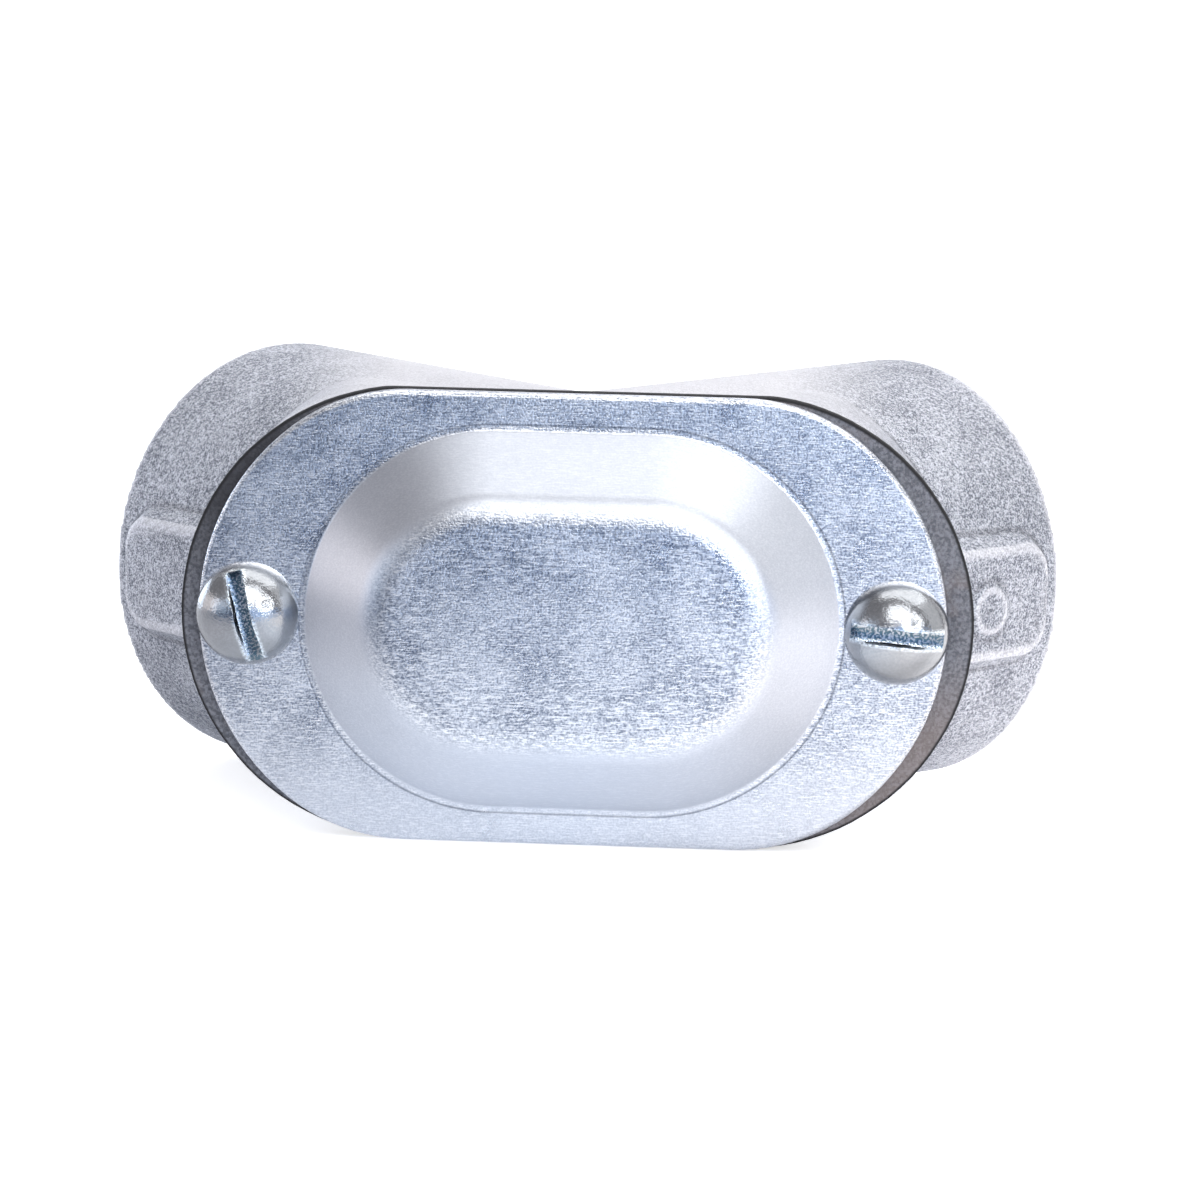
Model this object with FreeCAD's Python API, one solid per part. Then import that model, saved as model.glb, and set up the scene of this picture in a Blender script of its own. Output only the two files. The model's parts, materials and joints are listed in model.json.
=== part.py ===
import FreeCAD, Part
import math
import os

# Conduit pull elbow: a cast 90 degree elbow with two threaded hubs and an access cover
# that is screwed over an oblong opening on the outer corner. Sizes are in millimetres.
#
# While it is built, the hub axes cross at the origin in the plane Z = 0. The right hub runs
# back and to the right, the left hub mirrors it, and the cover faces -Y. At the end every
# piece is moved so that the origin lies under the middle of the object, on the surface
# that the object rests on.

# Hubs of the casting. Each hub is a slightly tapered tube, as cast.
thread_bore_diameter = 26.7
thread_depth = 14.0
thread_lead_in = 0.9
hub_wall = 3.55
hub_draft = 0.9
hub_length = 35.7
stop_height = 2.9
stop_length = 2.0
stop_edge_break = 0.7
stop_cone_length = 1.4
chamber_wall = 3.0

# Slotted round-head machine screws that hold the cover.
screw_spacing = 47.74
screw_diameter = 4.17
screw_length = 7.9
screw_head_diameter = 7.7
screw_head_height = 2.95
screw_head_rim = 0.7
screw_slot_width = 1.25
screw_slot_depth = 1.55
left_slot_degrees = 105.0
right_slot_degrees = -4.7
tapped_hole_clearance = 0.05
tapped_hole_spare = 1.4

# Collar of the casting round the access opening. Lands are measured from the screw axes.
collar_face_distance = 4.53
collar_top_step = 0.2
collar_end_land = 4.93
collar_end_swell = 1.5
collar_corner_radius = 7.0
collar_wall = 3.1
opening_end_land = 4.37
opening_end_swell = 0.4

# Raised pad on the outer side of each hub, and the round cast mark on the right one.
pad_height = 8.4
pad_end_gap = 2.1
pad_corner_radius = 2.5
pad_rise = 0.75
pad_side_slope = 0.6
pad_root_depth = 2.4
mark_diameter = 4.2
mark_rise = 0.35
mark_dish_depth = 0.25
mark_from_mouth = 8.9
mark_drop = 0.45

# Gasket. It lies a little off centre in its screw clearance.
gasket_thickness = 1.6
gasket_end_overhang = 0.55
gasket_side_overhang = 1.05
gasket_end_swell = 0.1
gasket_shift = 0.28
gasket_window_margin = 0.3
gasket_hole_clearance = 0.45

# Stamped cover with a raised oblong panel.
cover_thickness = 1.2
cover_end_land = 3.73
cover_side_overhang = 1.0
cover_end_swell = 0.8
cover_corner_radius = 14.0
cover_edge_break = 0.3
cover_hole_clearance = 0.25
panel_head_gap = 0.32
panel_height = 28.1
panel_rise = 4.5
panel_slope_degrees = 40.0
panel_shoulder_radius = 3.5

# Sizes that follow from the ones above.
thread_bore_radius = thread_bore_diameter / 2
hub_mouth_radius = thread_bore_radius + hub_wall
hub_root_radius = hub_mouth_radius - hub_draft
hub_taper = hub_draft / hub_length
throat_radius = thread_bore_radius - stop_height
chamber_radius = hub_root_radius - chamber_wall
thread_end = hub_length - thread_depth
chamber_end = thread_end - stop_length - stop_cone_length
collar_face = -collar_face_distance
gasket_face = collar_face - gasket_thickness
cover_face = gasket_face - cover_thickness
collar_length = screw_spacing + 2 * collar_end_land
collar_height = 2 * (hub_root_radius - collar_top_step)
opening_length = screw_spacing - 2 * opening_end_land
opening_height = collar_height - 2 * collar_wall
gasket_length = collar_length + 2 * gasket_end_overhang
gasket_height = collar_height + 2 * gasket_side_overhang
cover_length = screw_spacing + 2 * cover_end_land
cover_height = collar_height + 2 * cover_side_overhang
panel_length = screw_spacing - screw_head_diameter - 2 * panel_head_gap
panel_middle = (panel_length - panel_height) / 2
pad_face = hub_mouth_radius + pad_rise
tapped_hole_depth = screw_length - cover_thickness - gasket_thickness + tapped_hole_spare
beyond = 2 * (hub_length + hub_mouth_radius)
root2 = math.sqrt(2)
same_place = 1e-6

Vector = FreeCAD.Vector
origin = Vector(0, 0, 0)
up = Vector(0, 0, 1)
forward = Vector(0, -1, 0)
backward = Vector(0, 1, 0)
hub_axis = Vector(1, 1, 0).normalize()
hub_outer_side = Vector(1, -1, 0).normalize()


def on_hub(along, outward, rise=0.0):
    """A point given by its distance along the right hub, out from its axis, and up."""
    return hub_axis * along + hub_outer_side * outward + up * rise


def line(start, end):
    return Part.LineSegment(start, end).toShape()


def arc_about(center, start, end):
    """The shorter circular arc from start to end about a centre."""
    radius = (start - center).Length
    middle = (start - center) + (end - center)
    return Part.Arc(start, center + middle.normalize() * radius, end).toShape()


def polygon(points):
    return Part.makePolygon(points + points[:1])


def oblong(length, height, end_swell, corner, y):
    """A flat oblong face at a given Y, with straight long sides and round ends.

    The ends have a radius of half the height plus end_swell, and corner is the radius that
    blends them into the long sides.
    """
    half = height / 2
    end_radius = half + end_swell
    end_center = length / 2 - end_radius
    blend_x = end_center + math.sqrt((end_radius - corner) ** 2 - (half - corner) ** 2)
    blend_z = half - corner
    reach = end_radius / (end_radius - corner)
    touch_x = end_center + (blend_x - end_center) * reach
    touch_z = blend_z * reach

    def point(x, z):
        return Vector(x, y, z)

    edges = []
    for side in (1, -1):
        tip = point(side * length / 2, 0)
        upper, lower = point(side * touch_x, side * touch_z), point(side * touch_x, -side * touch_z)
        edges.append(line(point(-side * blend_x, side * half), point(side * blend_x, side * half)))
        edges.append(arc_about(point(side * blend_x, side * blend_z), point(side * blend_x, side * half), upper))
        edges.append(Part.Arc(upper, tip, lower).toShape())
        edges.append(arc_about(point(side * blend_x, -side * blend_z), lower, point(side * blend_x, -side * half)))
    return Part.Face(Part.Wire(edges))


def edges_at(shape, y):
    """The edges of a shape that lie in the plane at a given Y."""
    return [edge for edge in shape.Edges if all(abs(v.Y - y) < same_place for v in edge.Vertexes)]


def screw_holes(clearance, y, depth):
    """Round holes for both cover screws, from a given Y backwards."""
    radius = screw_diameter / 2 + clearance
    return [Part.makeCylinder(radius, depth, Vector(side * screw_spacing / 2, y, 0), backward) for side in (-1, 1)]


def front_wedge(hub_reach):
    """The space in front of the right hub's upright middle plane, as far as hub_reach along it."""
    corner = hub_reach / root2
    foot = polygon([
        Vector(0, collar_face, -beyond),
        Vector(2 * corner - collar_face, collar_face, -beyond),
        Vector(corner, corner, -beyond),
        Vector(0, 0, -beyond),
    ])
    return Part.Face(foot).extrude(up * 2 * beyond)


def hub_outside():
    """The tapered tube of the right hub, cut at the mitre and the collar face."""
    start = -2 * collar_face_distance
    profile = polygon([
        on_hub(start, 0),
        on_hub(start, hub_root_radius + hub_taper * start),
        on_hub(hub_length, hub_mouth_radius),
        on_hub(hub_length, 0),
    ])
    tube = Part.Face(profile).revolve(origin, hub_axis, 360)
    right_side = Part.makeBox(beyond, beyond, 2 * beyond, Vector(0, collar_face, -beyond))
    return tube.common(right_side)


def hub_inside():
    """The hollow of the right hub: lead-in, thread bore, stop with a broken edge, then the wire chamber.

    The chamber narrows to the stop in a cone, so that wires slide over it.
    """
    start = -2 * collar_face_distance
    profile = polygon([
        on_hub(start, 0),
        on_hub(start, chamber_radius),
        on_hub(chamber_end, chamber_radius),
        on_hub(thread_end - stop_length, throat_radius),
        on_hub(thread_end - stop_edge_break, throat_radius),
        on_hub(thread_end, throat_radius + stop_edge_break),
        on_hub(thread_end, thread_bore_radius),
        on_hub(hub_length - thread_lead_in, thread_bore_radius),
        on_hub(hub_length, thread_bore_radius + thread_lead_in),
        on_hub(hub_length, 0),
    ])
    hollow = Part.Face(profile).revolve(origin, hub_axis, 360)
    right_side = Part.makeBox(beyond, 2 * beyond, 2 * beyond, Vector(0, -beyond, -beyond))
    return hollow.common(right_side)


def collar_outside():
    """The right half of the collar, run back into the hub."""
    outline = oblong(collar_length, collar_height, collar_end_swell, collar_corner_radius, collar_face)
    enters_hub = collar_length / root2 - hub_root_radius
    return outline.extrude(backward * beyond).common(front_wedge((enters_hub + hub_length) / 2))


def opening_inside():
    """The right half of the access opening, from the collar face into the wire chamber."""
    outline = oblong(opening_length, opening_height, opening_end_swell, collar_corner_radius, collar_face)
    return outline.extrude(backward * beyond).common(front_wedge(chamber_end))


def pad_outline(outward, spread):
    """Outline of the pad at a distance out from the hub axis, grown sideways by spread."""
    half = pad_height / 2 + spread
    end = hub_length - pad_end_gap + spread
    corner = pad_corner_radius + spread

    def point(along, rise):
        return on_hub(along, outward, rise)

    return Part.Wire([
        line(point(thread_end, -half), point(end - corner, -half)),
        arc_about(point(end - corner, corner - half), point(end - corner, -half), point(end, corner - half)),
        line(point(end, corner - half), point(end, half - corner)),
        arc_about(point(end - corner, half - corner), point(end, half - corner), point(end - corner, half)),
        line(point(end - corner, half), point(thread_end, half)),
        line(point(thread_end, half), point(thread_end, -half)),
    ])


def pad():
    """The raised pad with sloping sides on the outer side of the right hub."""
    root = pad_outline(pad_face - pad_root_depth, pad_root_depth * pad_side_slope)
    face = pad_outline(pad_face, 0)
    return Part.makeLoft([root, face], True, True)


def cast_mark():
    """The low round mark on the right pad, a disc with a sloping rim and a dished top."""
    along = hub_length - mark_from_mouth
    center = on_hub(along, 0, -mark_drop)
    top = pad_face + mark_rise
    radius = mark_diameter / 2
    profile = polygon([
        on_hub(along, pad_face - pad_rise, -mark_drop),
        on_hub(along + radius, pad_face - pad_rise, -mark_drop),
        on_hub(along + radius, pad_face, -mark_drop),
        on_hub(along + radius - mark_rise, top, -mark_drop),
        on_hub(along, top - mark_dish_depth, -mark_drop),
    ])
    return Part.Face(profile).revolve(center, hub_outer_side, 360)


def elbow_body():
    """The casting: the right half is made whole, mirrored at the mitre, and marked on one pad."""
    outside = hub_outside().fuse([collar_outside(), pad()])
    right = outside.cut([hub_inside(), opening_inside()])
    left = right.mirror(origin, Vector(1, 0, 0))
    casting = right.fuse([left, cast_mark()])
    return casting.cut(screw_holes(tapped_hole_clearance, collar_face, tapped_hole_depth)).removeSplitter()


def cover_gasket():
    """The sheet gasket: the collar's outline with a window over the opening and two screw holes."""
    outline = oblong(gasket_length, gasket_height, gasket_end_swell, collar_corner_radius, gasket_face)
    window = oblong(opening_length + 2 * gasket_window_margin, opening_height + 2 * gasket_window_margin,
                    opening_end_swell, collar_corner_radius, gasket_face)
    sheet = outline.cut(window).extrude(backward * gasket_thickness)
    gasket = sheet.cut(screw_holes(gasket_hole_clearance, gasket_face, gasket_thickness))
    gasket.translate(Vector(gasket_shift, 0, 0))
    return gasket


def panel_section(x):
    """Section of the raised panel from its middle line outwards, as a face in the plane X = x.

    The front runs flat, round the shoulder and down the slope to the rim. The back follows it at
    the sheet's thickness, with the sharp corner that the punch leaves.
    """
    slope = math.radians(panel_slope_degrees)
    rim = panel_height / 2
    drop = panel_shoulder_radius * (1 - math.cos(slope))
    width = panel_shoulder_radius * math.sin(slope) + (panel_rise - drop) / math.tan(slope)
    shoulder = Vector(x, cover_face - panel_rise + panel_shoulder_radius, rim - width)

    def on_shoulder(turn):
        return shoulder + Vector(0, -math.cos(turn), math.sin(turn)) * panel_shoulder_radius

    middle_front = Vector(x, cover_face - panel_rise, 0)
    middle_back = middle_front + backward * cover_thickness
    rim_front = Vector(x, cover_face, rim)
    rim_back = rim_front + backward * cover_thickness
    inset = Vector(0, 0, cover_thickness * math.tan(slope / 2))
    corner_back = Vector(x, middle_back.y, rim - panel_rise / math.tan(slope)) - inset
    return Part.Face(Part.Wire([
        line(middle_front, on_shoulder(0)),
        Part.Arc(on_shoulder(0), on_shoulder(slope / 2), on_shoulder(slope)).toShape(),
        line(on_shoulder(slope), rim_front),
        line(rim_front, rim_back),
        line(rim_back, rim_back - inset),
        line(rim_back - inset, corner_back),
        line(corner_back, middle_back),
        line(middle_back, middle_front),
    ]))


def raised_panel():
    """The stamped panel: its section swept along the straight middle and turned round both ends."""
    upper = panel_section(-panel_middle).extrude(Vector(2 * panel_middle, 0, 0))
    lower = upper.mirror(origin, up)
    ends = []
    for side in (-1, 1):
        center = Vector(side * panel_middle, 0, 0)
        ends.append(panel_section(side * panel_middle).revolve(center, backward, side * 180))
    return upper.fuse([lower] + ends).removeSplitter()


def access_cover():
    """The stamped cover: a flat rim with a broken front edge, the raised panel and two screw holes."""
    outline = oblong(cover_length, cover_height, cover_end_swell, cover_corner_radius, cover_face)
    plate = outline.extrude(backward * cover_thickness)
    plate = plate.makeChamfer(cover_edge_break, edges_at(plate, cover_face))
    corner = Vector(-panel_middle, cover_face, -panel_height / 2)
    window = [Part.makeBox(2 * panel_middle, cover_thickness, panel_height, corner)]
    for side in (-1, 1):
        center = Vector(side * panel_middle, cover_face, 0)
        window.append(Part.makeCylinder(panel_height / 2, cover_thickness, center, backward))
    cover = plate.cut(window).fuse(raised_panel()).removeSplitter()
    return cover.cut(screw_holes(cover_hole_clearance, cover_face, cover_thickness))


def cover_screw(side, slot_degrees):
    """A slotted round-head screw whose head bears on the cover's front face."""
    head_radius = screw_head_diameter / 2
    shank_radius = screw_diameter / 2
    tip = cover_face + screw_length
    crown = Vector(0, cover_face - screw_head_height, 0)
    shoulder = Vector(0, cover_face - screw_head_rim, head_radius)
    dome_height = screw_head_height - screw_head_rim
    dome_radius = (head_radius ** 2 + dome_height ** 2) / (2 * dome_height)

    profile = Part.Wire([
        arc_about(crown + backward * dome_radius, crown, shoulder),
        line(shoulder, Vector(0, cover_face, head_radius)),
        line(Vector(0, cover_face, head_radius), Vector(0, cover_face, shank_radius)),
        line(Vector(0, cover_face, shank_radius), Vector(0, tip, shank_radius)),
        line(Vector(0, tip, shank_radius), Vector(0, tip, 0)),
        line(Vector(0, tip, 0), crown),
    ])
    screw = Part.Face(profile).revolve(origin, backward, 360)
    slot_corner = crown + Vector(-head_radius, 0, -screw_slot_width / 2)
    slot = Part.makeBox(screw_head_diameter, screw_slot_depth, screw_slot_width, slot_corner)
    slot.rotate(origin, forward, slot_degrees)
    screw = screw.cut(slot)
    screw.translate(Vector(side * screw_spacing / 2, 0, 0))
    return screw


front_most = cover_face - panel_rise
back_most = (hub_length + hub_mouth_radius) / root2
to_rest = Vector(0, -(front_most + back_most) / 2, hub_mouth_radius)

pieces = {
    "elbow_body": elbow_body(),
    "cover_gasket": cover_gasket(),
    "access_cover": access_cover(),
    "cover_screw_left": cover_screw(-1, left_slot_degrees),
    "cover_screw_right": cover_screw(1, right_slot_degrees),
}

os.makedirs("parts", exist_ok=True)
for name, shape in pieces.items():
    shape.translate(to_rest)
    shape.exportStep("parts/" + name + ".step")
    print(name, "valid" if shape.isValid() else "not valid", len(shape.Solids), "solid", round(shape.Volume, 1), "mm3")
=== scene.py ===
import json
import math
import random

import bmesh
import bpy
from mathutils import Matrix, Vector


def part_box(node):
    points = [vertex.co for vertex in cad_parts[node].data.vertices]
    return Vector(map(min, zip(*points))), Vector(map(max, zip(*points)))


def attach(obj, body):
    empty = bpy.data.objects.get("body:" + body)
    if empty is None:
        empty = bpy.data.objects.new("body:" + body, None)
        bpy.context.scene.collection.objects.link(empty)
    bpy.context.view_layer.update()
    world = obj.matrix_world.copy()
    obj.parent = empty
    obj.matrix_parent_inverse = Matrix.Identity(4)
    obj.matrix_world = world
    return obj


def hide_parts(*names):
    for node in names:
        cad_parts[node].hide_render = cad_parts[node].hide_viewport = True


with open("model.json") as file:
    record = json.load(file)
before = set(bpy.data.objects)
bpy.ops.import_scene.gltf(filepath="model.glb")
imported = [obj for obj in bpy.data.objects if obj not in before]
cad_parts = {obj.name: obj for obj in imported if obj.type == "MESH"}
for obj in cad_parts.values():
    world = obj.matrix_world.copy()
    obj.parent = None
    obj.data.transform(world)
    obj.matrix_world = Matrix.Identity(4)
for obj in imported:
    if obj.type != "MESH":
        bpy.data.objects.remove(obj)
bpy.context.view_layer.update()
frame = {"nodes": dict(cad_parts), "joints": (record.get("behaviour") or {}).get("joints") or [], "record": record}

# Elbow body: one aluminium casting with two tapered hubs, a collar round the access opening and a
# raised pad on each hub. Its skin is left as cast, so every edge is a little soft. The hub mouths
# and the bores behind them are turned bright.
mm = 0.001
same_point = 0.002 * mm
skin_voxel = 0.26 * mm
skin_softening = 0.5
skin_smoothing = 2
skin_kept_share = 0.34
hollow_smoothing = 2
hub_length = 35.7 * mm
hub_turn = math.radians(45)
turned_depth = 0.12 * mm
turned_bore_radius = 14.8 * mm
turned_bore_start = 21.0 * mm

cast_dark = (0.19, 0.205, 0.24, 1)
cast_light = (0.63, 0.65, 0.70, 1)
# The crease colour is painted shade; the edge colour is partly rubbed wear and partly a painted highlight.
cast_crease_shade = (0.09, 0.09, 0.10, 1)
cast_edge_wear_and_highlight = (0.85, 0.85, 0.88, 1)
# The smooth top colour is fettled skin painted lighter, as overhead light would make it.
cast_smooth_top_lit = (0.67, 0.67, 0.69, 1)
turned_colour = (0.60, 0.60, 0.62, 1)

cast_grain_size = 0.14 * mm
cast_blotch_size = 0.34 * mm
cast_blotch_cloud_size = 2.0 * mm
cast_cloud_size = 5.0 * mm
cast_blotch_share = 0.35
cast_cloud_share = 0.22
# A pair of values is the start and the end of a range.
cast_shade_range = (0.2, 0.8)
# Lighter along edges, partly rubbed wear and partly a painted highlight; painted shade in creases.
worn_and_highlit_hollows = (-0.018, -0.055)
shaded_hollows = (0.016, 0.05)
edge_and_crease_share = 0.5
# Along the top near the middle the skin is fettled smooth and painted lighter, as overhead light would make it.
smooth_lit_sides = (24 * mm, 15 * mm)
smooth_lit_heights = (25 * mm, 30 * mm)
smooth_lit_share = 0.8
cast_roughness = (0.76, 0.60)
cast_bump_strength = 0.6
cast_bump_depth = 0.06 * mm
turned_roughness = 0.26
turned_rings_per_metre = 5200.0

right_hub = next(mount for mount in frame["record"]["mounts"] if mount["name"] == "hub_right")
hubs_meet = Vector((0, right_hub["pos_m"][1] - right_hub["pos_m"][0], right_hub["pos_m"][2]))


def add_piece(name, mesh):
    """A new object of the scene, at the origin."""
    piece = bpy.data.objects.new(name, mesh)
    bpy.context.scene.collection.objects.link(piece)
    return piece


def apply_modifiers(piece):
    """Turns a piece with modifiers into a plain mesh."""
    bpy.context.view_layer.update()
    shown = piece.evaluated_get(bpy.context.evaluated_depsgraph_get())
    mesh = bpy.data.meshes.new_from_object(shown)
    piece.modifiers.clear()
    piece.data = mesh


def fill_inputs(tree, node, inputs):
    """Gives each named input of a node its value or its link."""
    for name, value in inputs.items():
        if isinstance(value, bpy.types.NodeSocket):
            tree.links.new(value, node.inputs[name])
        else:
            node.inputs[name].default_value = value


def add_node(tree, kind, inputs=None, **settings):
    """A node with its settings and inputs."""
    node = tree.nodes.new(kind)
    for name, value in settings.items():
        setattr(node, name, value)
    fill_inputs(tree, node, inputs or {})
    return node


def add_group(tree, group, inputs):
    """The outputs of a node that stands for a shared group."""
    node = tree.nodes.new("ShaderNodeGroup")
    node.node_tree = group
    fill_inputs(tree, node, inputs)
    return node.outputs


def calculate(tree, operation, first, second=0.0):
    """The result of a sum, as a socket."""
    return add_node(tree, "ShaderNodeMath", {0: first, 1: second}, operation=operation).outputs[0]


def stretch(tree, value, low, high, to_low=0.0, to_high=1.0):
    """A value stretched from one range to another and kept within it, as a socket."""
    inputs = {"Value": value, "From Min": low, "From Max": high, "To Min": to_low, "To Max": to_high}
    return add_node(tree, "ShaderNodeMapRange", inputs).outputs["Result"]


def mix_values(tree, factor, first, second):
    """Two values mixed, as a socket."""
    return add_node(tree, "ShaderNodeMix", {0: factor, 2: first, 3: second}).outputs[0]


def mix_colours(tree, factor, first, second):
    """Two colours mixed, as a socket."""
    return add_node(tree, "ShaderNodeMix", {0: factor, 6: first, 7: second}, data_type="RGBA").outputs[2]


def bumped(tree, height, strength, distance):
    """A normal that is bent by a height, as a socket."""
    inputs = {"Height": height, "Strength": strength, "Distance": distance}
    return add_node(tree, "ShaderNodeBump", inputs).outputs["Normal"]


def new_group(name, inputs, outputs):
    """A shader group that is given a place and some values, with its sockets."""
    group = bpy.data.node_groups.new(name, "ShaderNodeTree")
    group.interface.new_socket("Vector", in_out="INPUT", socket_type="NodeSocketVector")
    for socket in inputs:
        group.interface.new_socket(socket, in_out="INPUT", socket_type="NodeSocketFloat")
    for socket in outputs:
        group.interface.new_socket(socket, in_out="OUTPUT", socket_type="NodeSocketFloat")
    return group, group.nodes.new("NodeGroupInput").outputs, group.nodes.new("NodeGroupOutput").inputs


def new_material(name):
    """A material with its tree, its shader's inputs and its Object coordinates."""
    material = bpy.data.materials.new(name)
    material.use_nodes = True
    tree = material.node_tree
    place = tree.nodes.new("ShaderNodeTexCoord").outputs["Object"]
    return material, tree, tree.nodes["Principled BSDF"].inputs, place


def grain_group():
    """Fine grain and soft clouds, for cast, rolled, plated and pressed surfaces."""
    group, given, gives = new_group("grain", ("Grain Size", "Cloud Size"), ("Grain", "Clouds"))
    for socket, size, detail, low, high in (("Grain", "Grain Size", 1.0, 0.36, 0.64),
                                            ("Clouds", "Cloud Size", 4.0, 0.28, 0.72)):
        noise = add_node(group, "ShaderNodeTexNoise", {
            "Vector": given["Vector"], "Scale": calculate(group, "DIVIDE", 1.0, given[size]),
            "Detail": detail, "Roughness": 0.6})
        group.links.new(stretch(group, noise.outputs["Fac"], low, high), gives[socket])
    return group


def hub_place_group():
    """Distance along the nearer hub and out from its axis, in metres."""
    group, given, gives = new_group("hub_place", (), ("Along", "Out"))
    from_meet = add_node(group, "ShaderNodeVectorMath", {0: given["Vector"], 1: hubs_meet},
                         operation="SUBTRACT")
    place = add_node(group, "ShaderNodeSeparateXYZ", {0: from_meet.outputs[0]}).outputs
    beside = calculate(group, "ABSOLUTE", place["X"])
    diagonal = math.cos(hub_turn)
    along = calculate(group, "MULTIPLY", calculate(group, "ADD", beside, place["Y"]), diagonal)
    across = calculate(group, "MULTIPLY", calculate(group, "SUBTRACT", beside, place["Y"]), diagonal)
    squares = calculate(group, "ADD", calculate(group, "MULTIPLY", across, across),
                        calculate(group, "MULTIPLY", place["Z"], place["Z"]))
    group.links.new(along, gives["Along"])
    group.links.new(calculate(group, "SQRT", squares), gives["Out"])
    return group


grain = grain_group()
hub_place = hub_place_group()


def cast_aluminium():
    """As-cast aluminium with turned rings at the hub mouths and bores.

    The skin is speckled, lighter on edges from rubbed wear and a painted highlight, darkened by painted
    shade in creases, and fettled smooth and painted lighter along the top, as overhead light would make it.
    """
    material, tree, shader, place = new_material("cast_aluminium")
    skin = add_group(tree, grain, {
        "Vector": place, "Grain Size": cast_grain_size, "Cloud Size": cast_cloud_size})
    hub = add_group(tree, hub_place, {"Vector": place})
    mouth = calculate(tree, "GREATER_THAN", hub["Along"], hub_length - turned_depth)
    bored = calculate(tree, "MULTIPLY", calculate(tree, "LESS_THAN", hub["Out"], turned_bore_radius),
                      calculate(tree, "GREATER_THAN", hub["Along"], turned_bore_start))
    turned = calculate(tree, "MAXIMUM", mouth, bored)

    blotches = add_group(tree, grain, {
        "Vector": place, "Grain Size": cast_blotch_size, "Cloud Size": cast_blotch_cloud_size})
    speckle = mix_values(tree, cast_blotch_share, skin["Grain"], blotches["Grain"])
    shade = stretch(tree, mix_values(tree, cast_cloud_share, speckle, skin["Clouds"]), *cast_shade_range)
    speckled = mix_colours(tree, shade, cast_dark, cast_light)
    hollow = add_node(tree, "ShaderNodeAttribute", attribute_name="hollow").outputs["Fac"]
    # Lighter along edges, partly rubbed wear and partly a painted highlight; painted shade in creases.
    edge_wear_and_highlight = stretch(tree, hollow, *worn_and_highlit_hollows, 0.0, edge_and_crease_share)
    crease_shade = stretch(tree, hollow, *shaded_hollows, 0.0, edge_and_crease_share)
    rubbed = mix_colours(tree, edge_wear_and_highlight, speckled, cast_edge_wear_and_highlight)
    crease_shaded = mix_colours(tree, crease_shade, rubbed, cast_crease_shade)
    spot = add_node(tree, "ShaderNodeSeparateXYZ", {0: place}).outputs
    # Along the top near the middle the skin is fettled smooth and painted lighter, as overhead light would make
    # it.
    near_middle = stretch(tree, calculate(tree, "ABSOLUTE", spot["X"]), *smooth_lit_sides)
    near_top = stretch(tree, spot["Z"], *smooth_lit_heights, 0.0, smooth_lit_share)
    cast = mix_colours(tree, calculate(tree, "MULTIPLY", near_middle, near_top), crease_shaded, cast_smooth_top_lit)
    tree.links.new(mix_colours(tree, turned, cast, turned_colour), shader["Base Color"])
    rough = stretch(tree, shade, 0.0, 1.0, *cast_roughness)
    tree.links.new(mix_values(tree, turned, rough, turned_roughness), shader["Roughness"])

    ring_place = calculate(tree, "ADD", hub["Out"], hub["Along"])
    rings = add_node(tree, "ShaderNodeTexNoise", {"Scale": turned_rings_per_metre, "Detail": 2.0},
                     noise_dimensions="1D")
    tree.links.new(ring_place, rings.inputs["W"])
    height = mix_values(tree, turned, speckle, rings.outputs["Fac"])
    tree.links.new(bumped(tree, height, cast_bump_strength, cast_bump_depth), shader["Normal"])
    shader["Metallic"].default_value = 1.0
    return material


cast_metal = cast_aluminium()


def mark_hollows(mesh):
    """Stores at each point how hollow the skin is there: above 0 in creases, below 0 along edges."""
    skin = bmesh.new()
    skin.from_mesh(mesh)
    neighbours = [[edge.other_vert(point) for edge in point.link_edges] for point in skin.verts]
    hollows = []
    for point, around in zip(skin.verts, neighbours):
        offsets = [other.co - point.co for other in around]
        reach = sum(offset.length for offset in offsets)
        hollows.append(sum(offset.dot(point.normal) for offset in offsets) / reach)
    for _ in range(hollow_smoothing):
        hollows = [sum(hollows[other.index] for other in around) / len(around) for around in neighbours]
    mesh.attributes.new("hollow", "FLOAT", "POINT").data.foreach_set("value", hollows)
    skin.free()


casting_mesh = frame["nodes"]["elbow_body"].data.copy()
casting_skin = bmesh.new()
casting_skin.from_mesh(casting_mesh)
bmesh.ops.remove_doubles(casting_skin, verts=casting_skin.verts, dist=same_point)
casting_skin.to_mesh(casting_mesh)
casting_skin.free()
casting_mesh.materials.clear()
casting = add_piece("casting", casting_mesh)
remesh = casting.modifiers.new("cast skin", "REMESH")
remesh.mode = "VOXEL"
remesh.voxel_size = skin_voxel
remesh.use_smooth_shade = True
soften = casting.modifiers.new("soft edges", "SMOOTH")
soften.factor = skin_softening
soften.iterations = skin_smoothing
casting.modifiers.new("fewer faces", "DECIMATE").ratio = skin_kept_share
apply_modifiers(casting)
mark_hollows(casting.data)
casting.data.materials.append(cast_metal)
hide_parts("elbow_body")
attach(casting, "elbow")

# Hub threads: the tapered female conduit thread, tapped into each hub from its mouth down to the
# stop. It is cut in the casting, so it is bright metal and moves with the elbow.
thread_pitch = 1.814 * mm
thread_height = 1.4 * mm
thread_base_width = 1.74 * mm
thread_crest_width = 0.18 * mm
thread_sink = 0.25 * mm
thread_first_radius = 13.5 * mm
thread_last_radius = 13.2 * mm
thread_first_along = 34.6 * mm
thread_last_along = 22.9 * mm
thread_steps = 72
thread_run_in = 0.06
thread_run_out = 0.1
thread_end_scale = 0.05
ridge_outwards = math.radians(-90)
ridge_inwards = math.radians(90)
crisp_angle = math.radians(35)


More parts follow.
